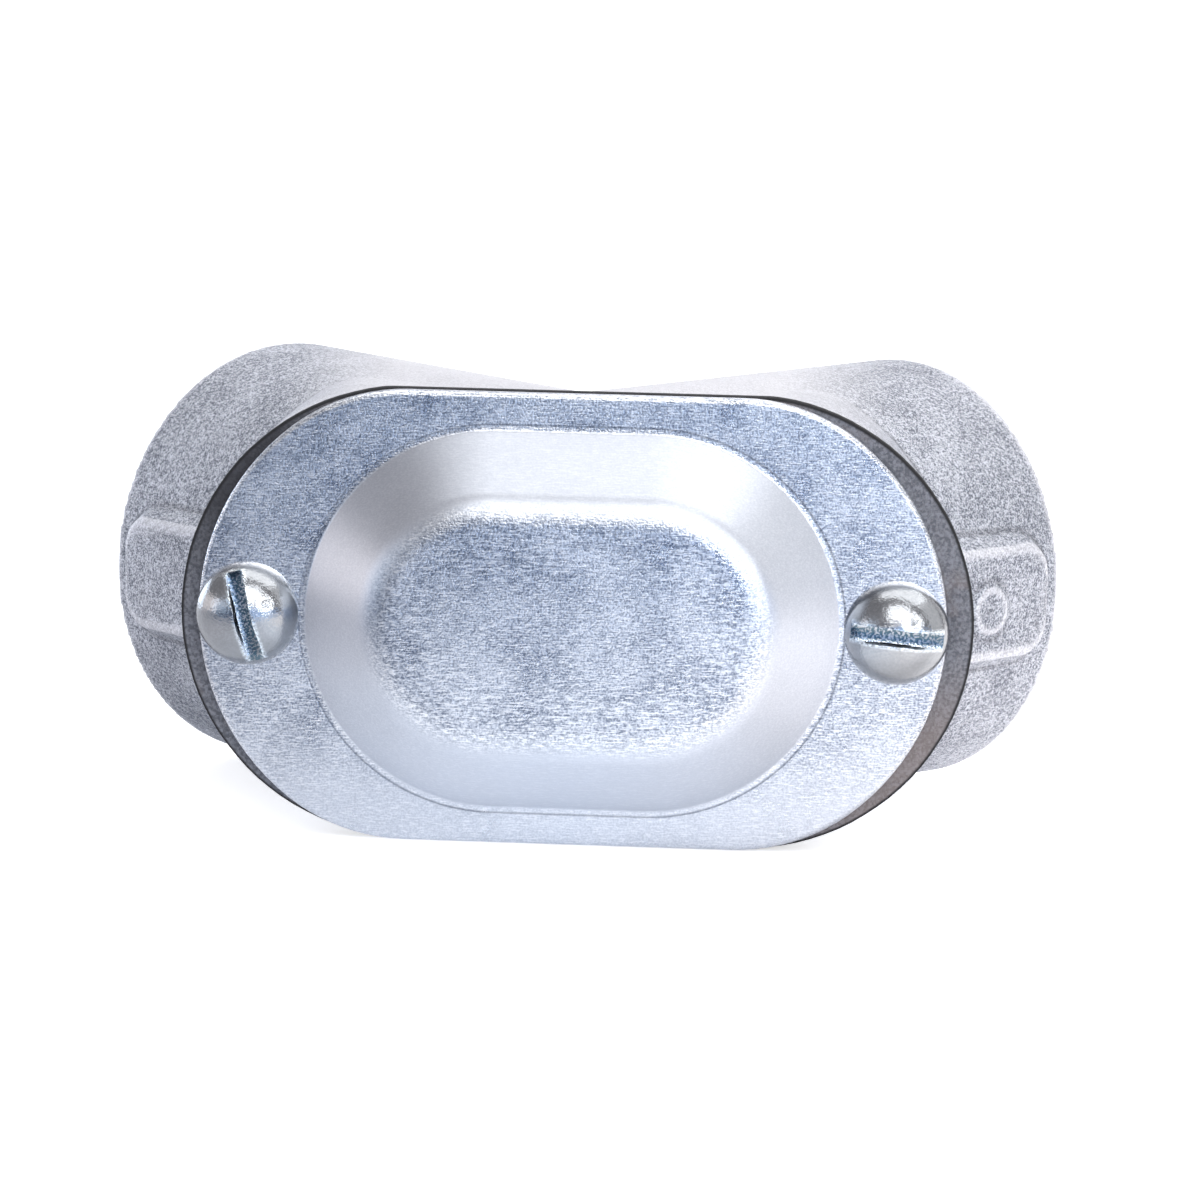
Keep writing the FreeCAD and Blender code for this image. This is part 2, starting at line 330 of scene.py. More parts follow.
def thread_tree():
    """A right-handed helical ridge along +Z that runs out at both ends."""
    tree = bpy.data.node_groups.new("helical_thread", "GeometryNodeTree")
    for name in ("Turns", "First Radius", "Last Radius", "Length", "Height", "Base Width", "Crest Width",
                 "Sink", "Ridge Turn"):
        tree.interface.new_socket(name, in_out="INPUT", socket_type="NodeSocketFloat")
    for name, kind in (("Steps", "Int"), ("Place", "Vector"), ("Turn", "Vector"), ("Finish", "Material")):
        tree.interface.new_socket(name, in_out="INPUT", socket_type="NodeSocket" + kind)
    tree.interface.new_socket("Thread", in_out="OUTPUT", socket_type="NodeSocketGeometry")
    given = tree.nodes.new("NodeGroupInput").outputs
    gives = tree.nodes.new("NodeGroupOutput").inputs

    path = add_node(tree, "GeometryNodeCurveSpiral", {
        "Resolution": given["Steps"], "Rotations": given["Turns"], "Start Radius": given["First Radius"],
        "End Radius": given["Last Radius"], "Height": given["Length"], "Reverse": True})
    upright = add_node(tree, "GeometryNodeSetCurveNormal", {"Curve": path.outputs["Curve"]}, mode="Z_UP")
    section = add_node(tree, "GeometryNodeCurvePrimitiveQuadrilateral", mode="TRAPEZOID")
    fill_inputs(tree, section, {
        "Height": given["Height"], "Bottom Width": given["Base Width"], "Top Width": given["Crest Width"],
        "Offset": 0.0})
    middle = calculate(tree, "SUBTRACT", calculate(tree, "MULTIPLY", given["Height"], 0.5), given["Sink"])
    raised = add_node(tree, "ShaderNodeCombineXYZ", {"Y": middle})
    seated = add_node(tree, "GeometryNodeTransform", {
        "Geometry": section.outputs["Curve"], "Translation": raised.outputs[0]})
    facing = add_node(tree, "ShaderNodeCombineXYZ", {"Z": given["Ridge Turn"]})
    turned = add_node(tree, "GeometryNodeTransform", {
        "Geometry": seated.outputs["Geometry"], "Rotation": facing.outputs[0]})
    factor = tree.nodes.new("GeometryNodeSplineParameter").outputs["Factor"]
    run_in = stretch(tree, factor, 0.0, thread_run_in, thread_end_scale, 1.0)
    run_out = stretch(tree, factor, 1.0, 1.0 - thread_run_out, thread_end_scale, 1.0)
    ridge = add_node(tree, "GeometryNodeCurveToMesh", {
        "Curve": upright.outputs["Curve"], "Profile Curve": turned.outputs["Geometry"],
        "Scale": calculate(tree, "MINIMUM", run_in, run_out), "Fill Caps": True})
    placed = add_node(tree, "GeometryNodeTransform", {
        "Geometry": ridge.outputs["Mesh"], "Translation": given["Place"], "Rotation": given["Turn"]})
    real = add_node(tree, "GeometryNodeRealizeInstances", {"Geometry": placed.outputs["Geometry"]})
    finished = add_node(tree, "GeometryNodeSetMaterial", {
        "Geometry": real.outputs["Geometry"], "Material": given["Finish"]})
    tree.links.new(finished.outputs["Geometry"], gives["Thread"])
    return tree


def smooth_faces(mesh):
    """Points all faces outwards and shades them smooth, apart from crisp edges."""
    skin = bmesh.new()
    skin.from_mesh(mesh)
    bmesh.ops.recalc_face_normals(skin, faces=skin.faces)
    skin.to_mesh(mesh)
    skin.free()
    mesh.shade_smooth()
    mesh.set_sharp_from_angle(angle=crisp_angle)


helical_thread = thread_tree()


def add_thread(name, sizes):
    """A piece that the thread tree makes with the given sizes."""
    piece = add_piece(name, bpy.data.meshes.new(name))
    modifier = piece.modifiers.new("thread", "NODES")
    modifier.node_group = helical_thread
    for item in helical_thread.interface.items_tree:
        if item.in_out == "INPUT":
            modifier[item.identifier] = sizes[item.name]
    apply_modifiers(piece)
    smooth_faces(piece.data)
    return piece


for side, name in ((-1, "hub_thread_left"), (1, "hub_thread_right")):
    out_of_hub = Vector((side, 1, 0)).normalized()
    into_hub = Vector((0, 0, 1)).rotation_difference(-out_of_hub).to_euler()
    hub_thread = add_thread(name, {
        "Turns": (thread_first_along - thread_last_along) / thread_pitch,
        "First Radius": thread_first_radius,
        "Last Radius": thread_last_radius,
        "Length": thread_first_along - thread_last_along,
        "Height": thread_height,
        "Base Width": thread_base_width,
        "Crest Width": thread_crest_width,
        "Sink": thread_sink,
        "Ridge Turn": ridge_inwards,
        "Steps": thread_steps,
        "Place": tuple(hubs_meet + out_of_hub * thread_first_along),
        "Turn": tuple(into_hub),
        "Finish": cast_metal,
    })
    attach(hub_thread, "elbow")

# Gasket: punched from dark pressed fibre sheet and laid between the collar and the cover, a little
# off centre. The cover screws squeeze it, so its outer edge is soft and not quite even.
gasket_end_swell = 0.1 * mm
gasket_corner = 7.0 * mm
gasket_edge_round = 0.3 * mm
gasket_waviness = 0.05 * mm
gasket_waves = (7, 16, 29)
window_end_wall = 9.55 * mm
window_side_wall = 3.85 * mm
window_end_swell = 0.4 * mm
window_edge_round = 0.1 * mm
# The rings of the rounded outer edge carry a painted shadow.
edge_shadow_rings = (0, 1, 2, -3, -2, -1)
gasket_hole_radius = 2.53 * mm
hole_cutter_length = 20 * mm
hole_steps = 64
quarter_steps = 24

gasket_dark = (0.105, 0.11, 0.125, 1)
gasket_fibre = (0.205, 0.21, 0.235, 1)
# Brown for stains, and browner towards the lower right.
gasket_brown = (0.26, 0.20, 0.17, 1)
# Painted shadow along the rounded outer edge.
gasket_edge_shadow_colour = (0.015, 0.015, 0.017, 1)
# Painted shadow at the upper left, where the cover shades the gasket.
gasket_shadow_colour = (0.03, 0.03, 0.035, 1)

gasket_grain_size = 0.22 * mm
gasket_cloud_size = 7.0 * mm
stained_clouds = (0.6, 1.0)
stain_share = 0.6
# Browner towards the lower right.
brown_sides = (14 * mm, 22 * mm)
brown_heights = (15 * mm, 9 * mm)
brown_share = 0.4
# Painted shadow at the upper left, where the cover shades the gasket.
gasket_shadow_sides = (-18 * mm, -22 * mm)
gasket_shadow_heights = (18 * mm, 25 * mm)
gasket_shadow_share = 0.85
gasket_roughness = 0.85
gasket_gloss = 0.3
gasket_bump_strength = 0.5
gasket_bump_depth = 0.06 * mm


def oblong(length, height, end_swell, corner, middle):
    """Outline of a plate with straight long sides and round ends, as a maker of its rings.

    The ends have a radius of half the height plus end_swell, and corner is the radius that blends
    them into the long sides.
    """
    half = height / 2
    end_radius = half + end_swell
    end_center = length / 2 - end_radius
    blend_x = end_center + math.sqrt((end_radius - corner) ** 2 - (half - corner) ** 2)
    blend_z = half - corner
    blend_turn = math.atan2(blend_z, blend_x - end_center)

    def quarter_point(step, inset):
        turn = math.radians(90) * step / quarter_steps
        if turn <= blend_turn:
            return end_center + (end_radius - inset) * math.cos(turn), (end_radius - inset) * math.sin(turn)
        return blend_x + (corner - inset) * math.cos(turn), blend_z + (corner - inset) * math.sin(turn)

    def ring(inset, y):
        right = [quarter_point(step, inset) for step in range(quarter_steps + 1)]
        top = right + [(-x, z) for x, z in reversed(right)]
        bottom = [(x, -z) for x, z in reversed(top[1:-1])]
        return [Vector((middle.x + x, y, middle.z + z)) for x, z in top + bottom]

    return ring


def quarter_round(radius, steps=3):
    """Steps of a rounded edge from side to face, as distances in from the side and from the face."""
    turns = [math.radians(90) * step / steps for step in range(steps + 1)]
    return [(radius * (1 - math.cos(turn)), radius * (1 - math.sin(turn))) for turn in turns]


def skin_over(name, rings, closed):
    """A mesh over a row of rings, which either closes on itself or is capped at both ends."""
    skin = bmesh.new()
    rows = [[skin.verts.new(point) for point in ring] for ring in rings]
    pairs = list(zip(rows, rows[1:]))
    if closed:
        pairs.append((rows[-1], rows[0]))
    else:
        skin.faces.new(rows[0])
        skin.faces.new(rows[-1])
    for row, following in pairs:
        for near in range(len(row)):
            skin.faces.new((row[near - 1], row[near], following[near], following[near - 1]))
    mesh = bpy.data.meshes.new(name)
    skin.to_mesh(mesh)
    skin.free()
    return mesh


def cut_with(piece, skin):
    """Cuts a closed skin out of a piece."""
    cutter = add_piece("cutter", bpy.data.meshes.new("cutter"))
    skin.to_mesh(cutter.data)
    skin.free()
    cut = piece.modifiers.new("cut", "BOOLEAN")
    cut.object = cutter
    cut.solver = "EXACT"
    apply_modifiers(piece)
    bpy.data.objects.remove(cutter)


def cut_round_holes(piece, radius, centers):
    """Cuts round holes along Y through a piece."""
    skin = bmesh.new()
    for center in centers:
        through = Matrix.Translation(center) @ Matrix.Rotation(math.radians(90), 4, "X")
        bmesh.ops.create_cone(skin, cap_ends=True, segments=hole_steps, radius1=radius, radius2=radius,
                              depth=hole_cutter_length, matrix=through)
    cut_with(piece, skin)


def pressed_fibre():
    """Dark pressed fibre sheet with pale fibres, brown in places.

    It has painted shadow at the upper left and along its outer edge.
    """
    material, tree, shader, place = new_material("pressed_fibre")
    fibre = add_group(tree, grain, {
        "Vector": place, "Grain Size": gasket_grain_size, "Cloud Size": gasket_cloud_size})
    speckled = mix_colours(tree, fibre["Grain"], gasket_dark, gasket_fibre)
    spot = add_node(tree, "ShaderNodeSeparateXYZ", {0: place}).outputs
    # Browner towards the lower right.
    browner_low_right = calculate(tree, "MULTIPLY", stretch(tree, spot["X"], *brown_sides),
                       stretch(tree, spot["Z"], *brown_heights, 0.0, brown_share))
    stained = stretch(tree, fibre["Clouds"], *stained_clouds, 0.0, stain_share)
    brown = mix_colours(tree, calculate(tree, "MAXIMUM", stained, browner_low_right), speckled, gasket_brown)
    # Painted shadow at the upper left, where the cover shades the gasket.
    shadowed_upper_left = calculate(tree, "MULTIPLY", stretch(tree, spot["X"], *gasket_shadow_sides),
                       stretch(tree, spot["Z"], *gasket_shadow_heights, 0.0, gasket_shadow_share))
    sheet = mix_colours(tree, shadowed_upper_left, brown, gasket_shadow_colour)
    # Painted shadow along the rounded outer edge.
    edge_shadow = add_node(tree, "ShaderNodeAttribute", attribute_name="edge_shadow").outputs["Fac"]
    tree.links.new(mix_colours(tree, edge_shadow, sheet, gasket_edge_shadow_colour), shader["Base Color"])
    tree.links.new(bumped(tree, fibre["Grain"], gasket_bump_strength, gasket_bump_depth), shader["Normal"])
    shader["Roughness"].default_value = gasket_roughness
    shader["Specular IOR Level"].default_value = gasket_gloss
    return material


screw_places = {}
for side in ("left", "right"):
    screw_joint = next(joint for joint in frame["joints"] if joint["name"] == "screw_" + side + "_turn")
    screw_places[side] = Vector(screw_joint["pos_m"])
gasket_low, gasket_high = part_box("cover_gasket")
gasket_middle = (gasket_low + gasket_high) / 2
gasket_length = gasket_high.x - gasket_low.x
gasket_height = gasket_high.z - gasket_low.z
gasket_outline = oblong(gasket_length, gasket_height, gasket_end_swell, gasket_corner, gasket_middle)
window_outline = oblong(gasket_length - 2 * window_end_wall, gasket_height - 2 * window_side_wall,
                        window_end_swell, gasket_corner, gasket_middle)


def uneven(ring):
    """A ring of the gasket's edge, drawn in a little here and there."""
    points = []
    for index, point in enumerate(ring):
        turn = math.tau * index / len(ring)
        wave = sum(math.sin(count * turn + count) for count in gasket_waves) / len(gasket_waves)
        inward = (gasket_middle - point).normalized()
        inward.y = 0
        points.append(point + inward * gasket_waviness * (1 + wave) / 2)
    return points


gasket_rings = [uneven(gasket_outline(inset, gasket_low.y + depth))
                for inset, depth in quarter_round(gasket_edge_round)]
gasket_rings += [window_outline(-inset, gasket_low.y + depth)
                 for inset, depth in reversed(quarter_round(window_edge_round))]
gasket_rings += [window_outline(-inset, gasket_high.y - depth)
                 for inset, depth in quarter_round(window_edge_round)]
gasket_rings += [uneven(gasket_outline(inset, gasket_high.y - depth))
                 for inset, depth in reversed(quarter_round(gasket_edge_round))]
gasket = add_piece("gasket", skin_over("gasket", gasket_rings, closed=True))
# Painted shadow along the rounded outer edge, on these rings.
edge_shadow = gasket.data.attributes.new("edge_shadow", "FLOAT", "POINT")
for ring_index in edge_shadow_rings:
    for index in range(len(gasket_rings[0])):
        edge_shadow.data[(ring_index % len(gasket_rings)) * len(gasket_rings[0]) + index].value = 1.0
smooth_faces(gasket.data)
off_centre = Vector((gasket_middle.x, 0, 0))
cut_round_holes(gasket, gasket_hole_radius, [place + off_centre for place in screw_places.values()])
gasket.data.materials.append(pressed_fibre())
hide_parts("cover_gasket")
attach(gasket, "elbow")

# Access cover: stamped from bright sheet metal with the rolling grain lengthways, a raised oblong
# panel drawn into it and a hole punched at each end for its screw.
sheet_thickness = 1.2 * mm
cover_end_swell = 0.8 * mm
cover_corner = 14.0 * mm
cover_front_round = 0.4 * mm
cover_back_round = 0.2 * mm
cover_hole_radius = 2.33 * mm
panel_length = 39.4 * mm
panel_height = 28.1 * mm
panel_corner = panel_height / 4
panel_rise = 4.5 * mm
panel_crown = 0.1 * mm
panel_crown_reach = 0.995
panel_slope = math.radians(40)
panel_foot_radius = 0.5 * mm
foot_groove_width = 0.26 * mm
foot_groove_depth = 0.055 * mm
panel_shoulder_radius = 4.2 * mm
round_steps = 8
crown_steps = 6

# The blue tint of these colours is partly a painted reflection of bluish surroundings.
cover_dark = (0.23, 0.26, 0.32, 1)
cover_light = (0.83, 0.86, 0.91, 1)
cover_glint = (1.0, 1.0, 1.0, 1)
# Painted shade: the dark line in the foot groove.
foot_groove_shade_colour = (0.10, 0.11, 0.13, 1)

mill_streak_length = 2.6 * mm
mill_streak_width = 0.10 * mm
cover_grain_size = 0.16 * mm
cover_cloud_size = 5.0 * mm
mill_contrast = (0.34, 0.66)
mill_streak_share = 0.22
cover_grain_share = 0.65
cover_cloud_share = 0.25
cover_shade_range = (0.22, 0.78)
burnished_slopes = (0.2, 0.75)
burnished_share = 0.88
burnished_shade = 0.57
# Towards the bottom the sheet is smoother and a little lighter.
lower_smooth_heights = (10.0 * mm, 3.5 * mm)
lower_smooth_share = 0.7
lower_smooth_shade = 0.6
# Painted glints: white dashes on the finer scratches.
glint_dash_range = (0.66, 0.95)
glint_dash_share = 0.7
# Painted shade: the dark line in the foot groove.
foot_groove_shade_range = (0.4, 0.9)
foot_groove_shade_share = 0.55
cover_roughness = (0.24, 0.36)
burnished_roughness = 0.38
cover_bump_strength = 0.6
cover_bump_depth = 0.024 * mm
smooth_height = 0.5

cover_low, cover_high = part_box("access_cover")
cover_middle = (cover_low + cover_high) / 2
rim_back = cover_high.y
rim_front = rim_back - sheet_thickness
cover_length = cover_high.x - cover_low.x
cover_height = cover_high.z - cover_low.z
cover_outline = oblong(cover_length, cover_height, cover_end_swell, cover_corner, cover_middle)
panel_outline = oblong(panel_length, panel_height, 0.0, panel_corner, cover_middle)


def panel_profile(depth):
    """Section of the drawn panel, at a depth in the sheet, as inset and rise from the rim to the middle."""
    foot_tangent = panel_foot_radius * math.tan(panel_slope / 2)
    drawn_rise = panel_rise - panel_crown
    shoulder_inset = drawn_rise / math.tan(panel_slope) + panel_shoulder_radius * math.tan(panel_slope / 2)
    turns = [panel_slope * step / round_steps for step in range(round_steps + 1)]
    foot_radius = panel_foot_radius + depth
    shoulder_radius = panel_shoulder_radius - depth
    foot = [(foot_radius * math.sin(turn) - foot_tangent, panel_foot_radius - foot_radius * math.cos(turn))
            for turn in turns]
    shoulder = [(shoulder_inset - shoulder_radius * math.sin(turn),
                 drawn_rise - panel_shoulder_radius + shoulder_radius * math.cos(turn))
                for turn in reversed(turns)]
    crown_width = panel_height / 2 * panel_crown_reach - shoulder_inset
    crown = []
    for step in range(1, crown_steps + 1):
        share = step / crown_steps
        rise = drawn_rise - depth + panel_crown * math.sin(share * math.radians(90))
        crown.append((shoulder_inset + crown_width * share, rise))
    return foot + shoulder + crown


def mill_finish_group():
    """Rolling grain along X: long thin streaks and a finer scatter of short ones."""
    group, given, gives = new_group("mill_finish", ("Streak Length", "Streak Width"),
                                    ("Streaks", "Scratches"))
    for socket, length_share, detail in (("Streaks", 1.0, 3.0), ("Scratches", 0.25, 1.0)):
        length = calculate(group, "MULTIPLY", given["Streak Length"], length_share)
        along = calculate(group, "DIVIDE", 1.0, length)
        across = calculate(group, "DIVIDE", 1.0, given["Streak Width"])
        scale = add_node(group, "ShaderNodeCombineXYZ", {0: along, 1: across, 2: across})
        grained = add_node(group, "ShaderNodeVectorMath", {0: given["Vector"], 1: scale.outputs[0]},
                           operation="MULTIPLY")
        noise = add_node(group, "ShaderNodeTexNoise", {
            "Vector": grained.outputs[0], "Scale": 1.0, "Detail": detail, "Roughness": 0.55})
        group.links.new(stretch(group, noise.outputs["Fac"], *mill_contrast), gives[socket])
    return group


mill_finish = mill_finish_group()


def rolled_sheet():
    """Bright rolled sheet: bluish silver, streaked lengthways, speckled, smooth on the drawn slopes.

    Its blue is partly a painted reflection, its white dashes are painted glints, and the foot groove
    has a painted dark line of shade.
    """
    material, tree, shader, place = new_material("rolled_sheet")
    mill = add_group(tree, mill_finish, {
        "Vector": place, "Streak Length": mill_streak_length, "Streak Width": mill_streak_width})
    skin = add_group(tree, grain, {
        "Vector": place, "Grain Size": cover_grain_size, "Cloud Size": cover_cloud_size})
    fine = mix_values(tree, cover_grain_share, mill["Scratches"], skin["Grain"])
    finish = mix_values(tree, mill_streak_share, fine, mill["Streaks"])
    cloudy = mix_values(tree, cover_cloud_share, finish, skin["Clouds"])
    speckled = stretch(tree, cloudy, *cover_shade_range)
    drawn = add_node(tree, "ShaderNodeAttribute", attribute_name="drawn").outputs["Fac"]
    burnish = stretch(tree, drawn, *burnished_slopes, 0.0, burnished_share)
    up = add_node(tree, "ShaderNodeSeparateXYZ", {0: place}).outputs["Z"]
    # Towards the bottom the sheet is smoother and a little lighter.
    lower_smooth = stretch(tree, up, *lower_smooth_heights, 0.0, lower_smooth_share)
    shade = mix_values(tree, burnish, speckled, burnished_shade)
    shade = mix_values(tree, lower_smooth, shade, lower_smooth_shade)
    smooth = calculate(tree, "MAXIMUM", burnish, lower_smooth)
    # Painted glints: white dashes on the finer scratches.
    glint_dashes = calculate(tree, "MULTIPLY", stretch(tree, mill["Scratches"], *glint_dash_range, 0.0, glint_dash_share),
                       calculate(tree, "SUBTRACT", 1.0, smooth))
    sheet = mix_colours(tree, glint_dashes, mix_colours(tree, shade, cover_dark, cover_light), cover_glint)
    # Painted shade: the dark line in the foot groove.
    in_foot_groove = add_node(tree, "ShaderNodeAttribute", attribute_name="foot_line").outputs["Fac"]
    groove_shaded = stretch(tree, in_foot_groove, *foot_groove_shade_range, 0.0, foot_groove_shade_share)
    tree.links.new(mix_colours(tree, groove_shaded, sheet, foot_groove_shade_colour), shader["Base Color"])
    rough = stretch(tree, skin["Clouds"], 0.0, 1.0, *cover_roughness)
    tree.links.new(mix_values(tree, burnish, rough, burnished_roughness), shader["Roughness"])
    height = mix_values(tree, smooth, fine, smooth_height)
    tree.links.new(bumped(tree, height, cover_bump_strength, cover_bump_depth), shader["Normal"])
    shader["Metallic"].default_value = 1.0
    return material


front_profile = panel_profile(0.0)
back_profile = panel_profile(sheet_thickness)
cover_rings = [panel_outline(inset, rim_front - rise) for inset, rise in reversed(back_profile)]
cover_rings += [cover_outline(inset, rim_back - depth)
                for inset, depth in reversed(quarter_round(cover_back_round))]
cover_rings += [cover_outline(inset, rim_front + depth)
                for inset, depth in quarter_round(cover_front_round)]
foot_line = front_profile[0][0] - foot_groove_width
cover_rings += [panel_outline(foot_line - foot_groove_width / 2, rim_front),
                panel_outline(foot_line, rim_front + foot_groove_depth)]
cover_rings += [panel_outline(inset, rim_front - rise) for inset, rise in front_profile]
cover = add_piece("cover", skin_over("cover", cover_rings, closed=False))
drawn_shares = [step / round_steps for step in range(round_steps + 1)]
drawn_shares += list(reversed(drawn_shares)) + [0.0] * crown_steps
first_drawn = len(cover_rings) - len(front_profile)
drawn = cover.data.attributes.new("drawn", "FLOAT", "POINT")
# The groove's bottom ring carries the painted shade.
foot_groove_shade_marks = cover.data.attributes.new("foot_line", "FLOAT", "POINT")
for index in range(len(cover_rings[0])):
    for ring_index, share in enumerate(drawn_shares, first_drawn):
        drawn.data[ring_index * len(cover_rings[0]) + index].value = share
    foot_groove_shade_marks.data[(first_drawn - 1) * len(cover_rings[0]) + index].value = 1.0
smooth_faces(cover.data)
cut_round_holes(cover, cover_hole_radius, list(screw_places.values()))
cover.modifiers.new("flat faces", "WEIGHTED_NORMAL").keep_sharp = True
apply_modifiers(cover)
cover.data.materials.append(rolled_sheet())
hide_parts("access_cover")
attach(cover, "cover")

# Cover screws: slotted round-head machine screws, cold headed in steel, plated with zinc and driven
# through the cover into the collar. The driver has left the slots' edges ragged and bright.
head_radius = 3.85 * mm
head_height = 2.95 * mm
head_steps = 20
shank_radius = 1.66 * mm
shank_length = 7.9 * mm
shank_tip_chamfer = 0.45 * mm
lathe_steps = 72
slot_width = 1.25 * mm
slot_depth = 1.55 * mm
slot_turns = {"left": math.radians(105.0), "right": math.radians(-4.7)}
slot_cutter_reach = 2 * head_radius
slot_raggedness = 0.05 * mm
slot_cuts = 22
slot_seed = 7
slot_edge_round = 0.07 * mm
screw_thread_pitch = 0.794 * mm
screw_thread_height = 0.6 * mm
screw_thread_base_width = 0.74 * mm
screw_thread_crest_width = 0.1 * mm
screw_thread_sink = 0.18 * mm
screw_thread_start = 1.3 * mm

screw_dark = (0.40, 0.42, 0.44, 1)
screw_light = (0.55, 0.57, 0.60, 1)
screw_glint = (0.97, 0.97, 0.97, 1)
# Painted shade towards the rim and towards the bottom of the head.
screw_shade_colour = (0.22, 0.23, 0.24, 1)
# Painted shade on the slot's floor.
slot_shade_colour = (0.10, 0.16, 0.20, 1)
slot_edge_colour = (0.85, 0.93, 0.98, 1)

slot_edge_width = 0.3 * mm
slot_reach = 3.4 * mm
slot_floor_margin = 0.08 * mm
screw_grain_size = 0.2 * mm
screw_cloud_size = 2.5 * mm
screw_cloud_share = 0.6
# Painted shade: darker towards the rim and towards the bottom of the head.
rim_shade_radii = (0.3 * head_radius, 0.75 * head_radius)
rim_shade_share = 0.5
low_shade_heights = (0.1 * head_radius, -0.5 * head_radius)
low_shade_share = 0.6
glint_radii = (0.93 * head_radius, 0.98 * head_radius)
glint_heights = (0.6 * head_radius, 0.8 * head_radius)
slot_wear_grain = (0.2, 0.7)
slot_wear_shares = (0.35, 1.0)
slot_wear_height = 2.0
# Painted shade on the slot's floor, broken by pale specks.
slot_shade_grain = (0.4, 0.75)
slot_shade_shares = (1.0, 0.1)
screw_roughness = (0.16, 0.23)
screw_bump_strength = 0.2
screw_bump_depth = 0.03 * mm


def slot_place_group():
    """Masks for the floor of a driver slot along X, and for the edges that a driver has rubbed."""
    group, given, gives = new_group("slot_place", ("Edge Width",), ("Floor", "Edges"))
    place = add_node(group, "ShaderNodeSeparateXYZ", {0: given["Vector"]}).outputs
    across = calculate(group, "ABSOLUTE", place["Z"])
    from_edge = calculate(group, "ABSOLUTE", calculate(group, "SUBTRACT", across, slot_width / 2))
    rubbed = calculate(group, "SUBTRACT", 1.0, calculate(group, "DIVIDE", from_edge, given["Edge Width"]))
    along = calculate(group, "ABSOLUTE", place["X"])
    on_head = calculate(group, "MULTIPLY", calculate(group, "LESS_THAN", place["Y"], 0.0),
                        calculate(group, "LESS_THAN", along, slot_reach))
    edges = calculate(group, "MULTIPLY", calculate(group, "MAXIMUM", rubbed, 0.0), on_head)
    inside = calculate(group, "LESS_THAN", across, slot_width / 2 - slot_floor_margin)
    group.links.new(calculate(group, "MULTIPLY", inside, on_head), gives["Floor"])
    group.links.new(edges, gives["Edges"])
    return group


slot_place = slot_place_group()


def zinc_plate(side):
    """Satin zinc plate, mottled by handling, dark in the slot and rubbed bright along its edges.

    The slot's dark floor and the darker rim and bottom of the head are painted shade; the bright upper
    rim is a painted glint.
    """
    material, tree, shader, place = new_material("zinc_plate_" + side)
    skin = add_group(tree, grain, {
        "Vector": place, "Grain Size": screw_grain_size, "Cloud Size": screw_cloud_size})
    in_slot = add_node(tree, "ShaderNodeMapping", vector_type="TEXTURE")
    fill_inputs(tree, in_slot, {
        "Vector": place, "Location": screw_places[side], "Rotation": (0, -slot_turns[side], 0)})
    slot = add_group(tree, slot_place, {"Vector": in_slot.outputs[0], "Edge Width": slot_edge_width})
    wear = stretch(tree, skin["Grain"], *slot_wear_grain, *slot_wear_shares)
    worn = calculate(tree, "MULTIPLY", slot["Edges"], wear)
    # Painted shade on the slot's floor, broken by pale specks.
    slot_shade_speckle = stretch(tree, skin["Grain"], *slot_shade_grain, *slot_shade_shares)
    slot_shaded = calculate(tree, "MULTIPLY", slot["Floor"], slot_shade_speckle)

    shade = mix_values(tree, screw_cloud_share, skin["Grain"], skin["Clouds"])
    from_axis = add_node(tree, "ShaderNodeVectorMath", {0: place, 1: screw_places[side]},
                         operation="SUBTRACT")
    spot = add_node(tree, "ShaderNodeSeparateXYZ", {0: from_axis.outputs[0]}).outputs
    squares = calculate(tree, "ADD", calculate(tree, "MULTIPLY", spot["X"], spot["X"]),
                        calculate(tree, "MULTIPLY", spot["Z"], spot["Z"]))
    out = calculate(tree, "SQRT", squares)
    # Painted shade: darker towards the rim and towards the bottom of the head.
    rim_shade = stretch(tree, out, *rim_shade_radii, 0.0, rim_shade_share)
    low_shade = stretch(tree, spot["Z"], *low_shade_heights, 0.0, low_shade_share)
    painted_shade = calculate(tree, "MAXIMUM", rim_shade, low_shade)
    plain = mix_colours(tree, painted_shade, mix_colours(tree, shade, screw_dark, screw_light), screw_shade_colour)
    glint = calculate(tree, "MULTIPLY", stretch(tree, out, *glint_radii),
                      stretch(tree, spot["Z"], *glint_heights))
    plate = mix_colours(tree, glint, plain, screw_glint)
    slotted = mix_colours(tree, slot_shaded, plate, slot_shade_colour)
    tree.links.new(mix_colours(tree, worn, slotted, slot_edge_colour), shader["Base Color"])
    tree.links.new(stretch(tree, skin["Clouds"], 0.0, 1.0, *screw_roughness), shader["Roughness"])
    height = calculate(tree, "ADD", skin["Grain"], calculate(tree, "MULTIPLY", worn, slot_wear_height))
    tree.links.new(bumped(tree, height, screw_bump_strength, screw_bump_depth), shader["Normal"])
    shader["Metallic"].default_value = 1.0
    return material


def turned_ring(center, radius, y):
    """A round ring about a screw's axis."""
    turns = [math.tau * step / lathe_steps for step in range(lathe_steps)]
    return [Vector((center.x + radius * math.cos(turn), y, center.z + radius * math.sin(turn)))
            for turn in turns]


